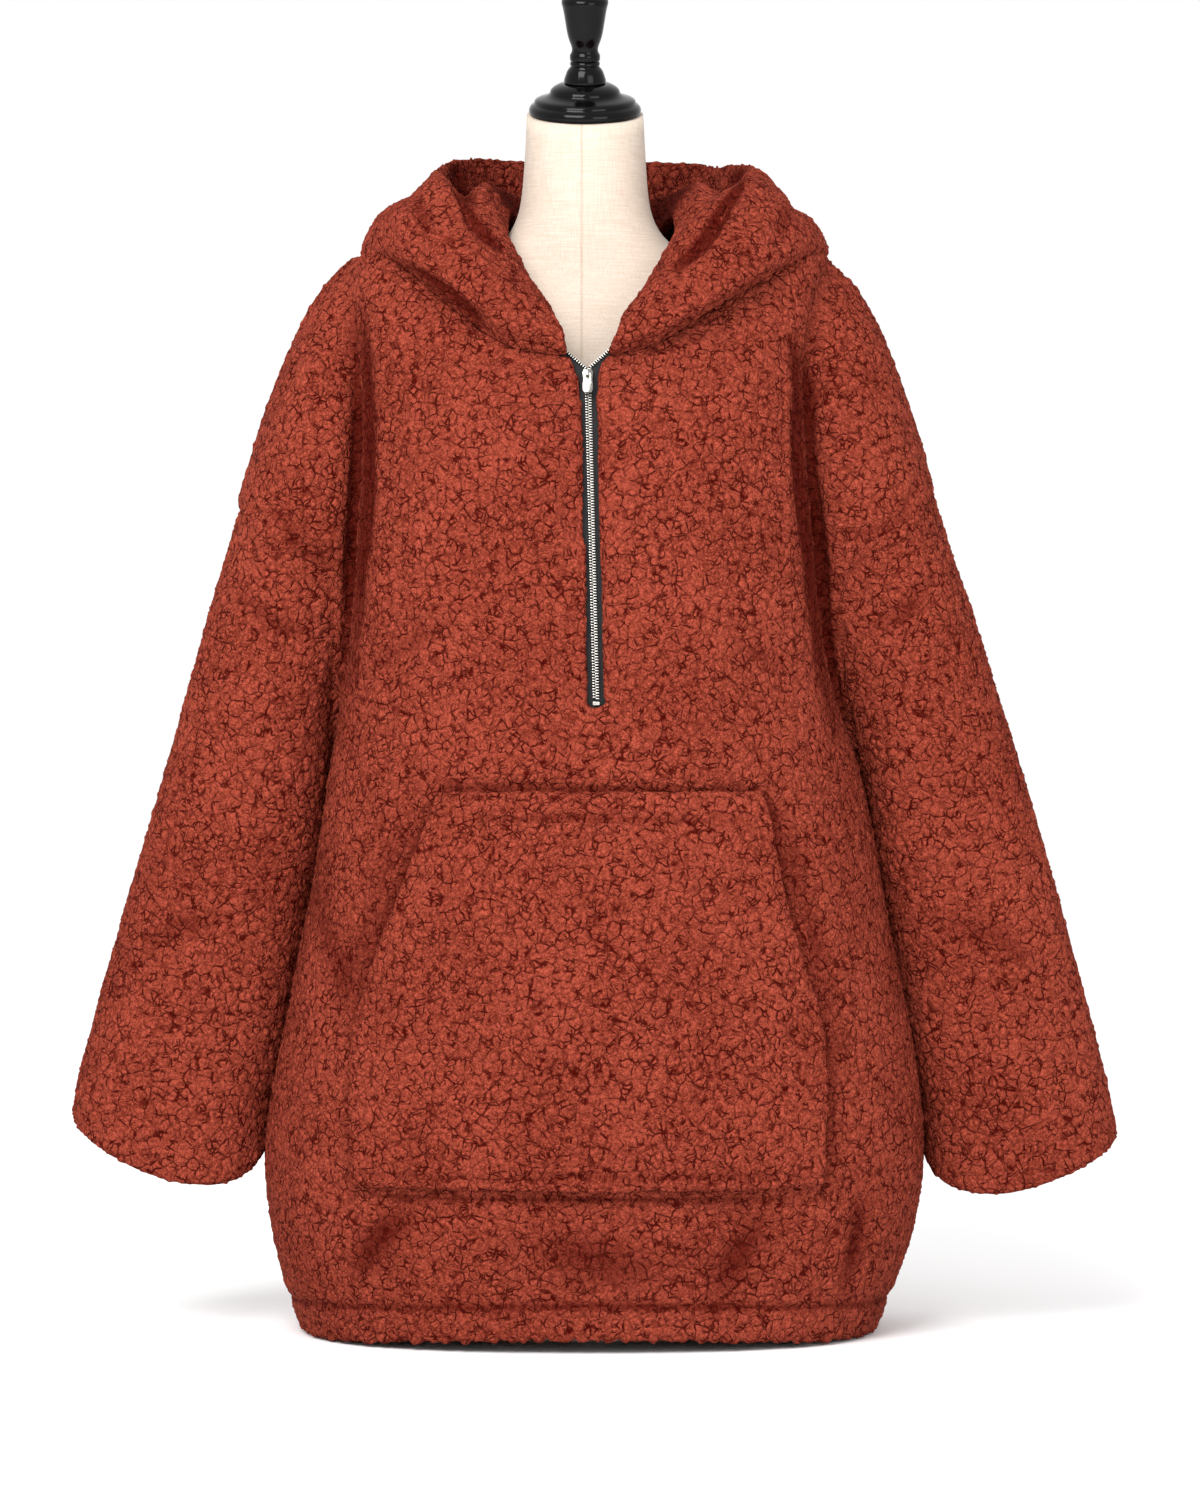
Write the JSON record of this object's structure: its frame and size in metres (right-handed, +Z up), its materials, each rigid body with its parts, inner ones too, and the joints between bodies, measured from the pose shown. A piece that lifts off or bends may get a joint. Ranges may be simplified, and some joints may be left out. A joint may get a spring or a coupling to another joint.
{
  "type": "sherpa fleece pullover on a counter-top dress form",
  "caption": "Oversize rust sherpa fleece pullover with a lowered hood, a half zip, wide sleeves and a kangaroo pocket, on a cream linen dress form with a black turned neck cap",
  "frame": {"origin": "centre of the underside of the dress form's base plate", "axes": "+Z up, the garment's front faces -Y, +X is to the right as seen from the front"},
  "size_m": [0.909, 0.4401, 1.1588],
  "materials": {
    "sherpa_fleece": "deep curly pile",
    "sherpa_fleece_pocket": "deep curly pile",
    "zip_tape_black": "woven tape",
    "zip_metal": "polished",
    "linen_cream": "plain weave",
    "lacquer_black": "gloss black lacquer",
    "painted_steel_black": "satin",
    "painted_steel_white": "satin"
  },
  "bodies": {
    "pullover": {"front_panel": "sherpa_fleece", "back_panel": "sherpa_fleece", "sleeve_left": "sherpa_fleece", "sleeve_right": "sherpa_fleece", "hood_left": "sherpa_fleece", "hood_right": "sherpa_fleece", "kangaroo_pocket": "sherpa_fleece_pocket", "zip_tape_left": "zip_tape_black", "zip_tape_right": "zip_tape_black", "zip_teeth_left": "zip_metal", "zip_teeth_right": "zip_metal", "zip_slider": "zip_metal", "zip_bottom_stop": "zip_metal", "form_body": "linen_cream", "form_neck_cap": "lacquer_black", "form_finial": "lacquer_black", "form_pole": "painted_steel_black", "form_base": "painted_steel_white"},
    "zip_pull": {"zip_pull_tab": "zip_metal"}
  },
  "joints": [
    {"name": "pull_tab_swing", "type": "hinge", "parent": "pullover", "child": "zip_pull", "pos_m": [0.00268, -0.14201, 0.82188], "axis": [-1, 0, 0], "range_deg": [0, 140]}
  ]
}
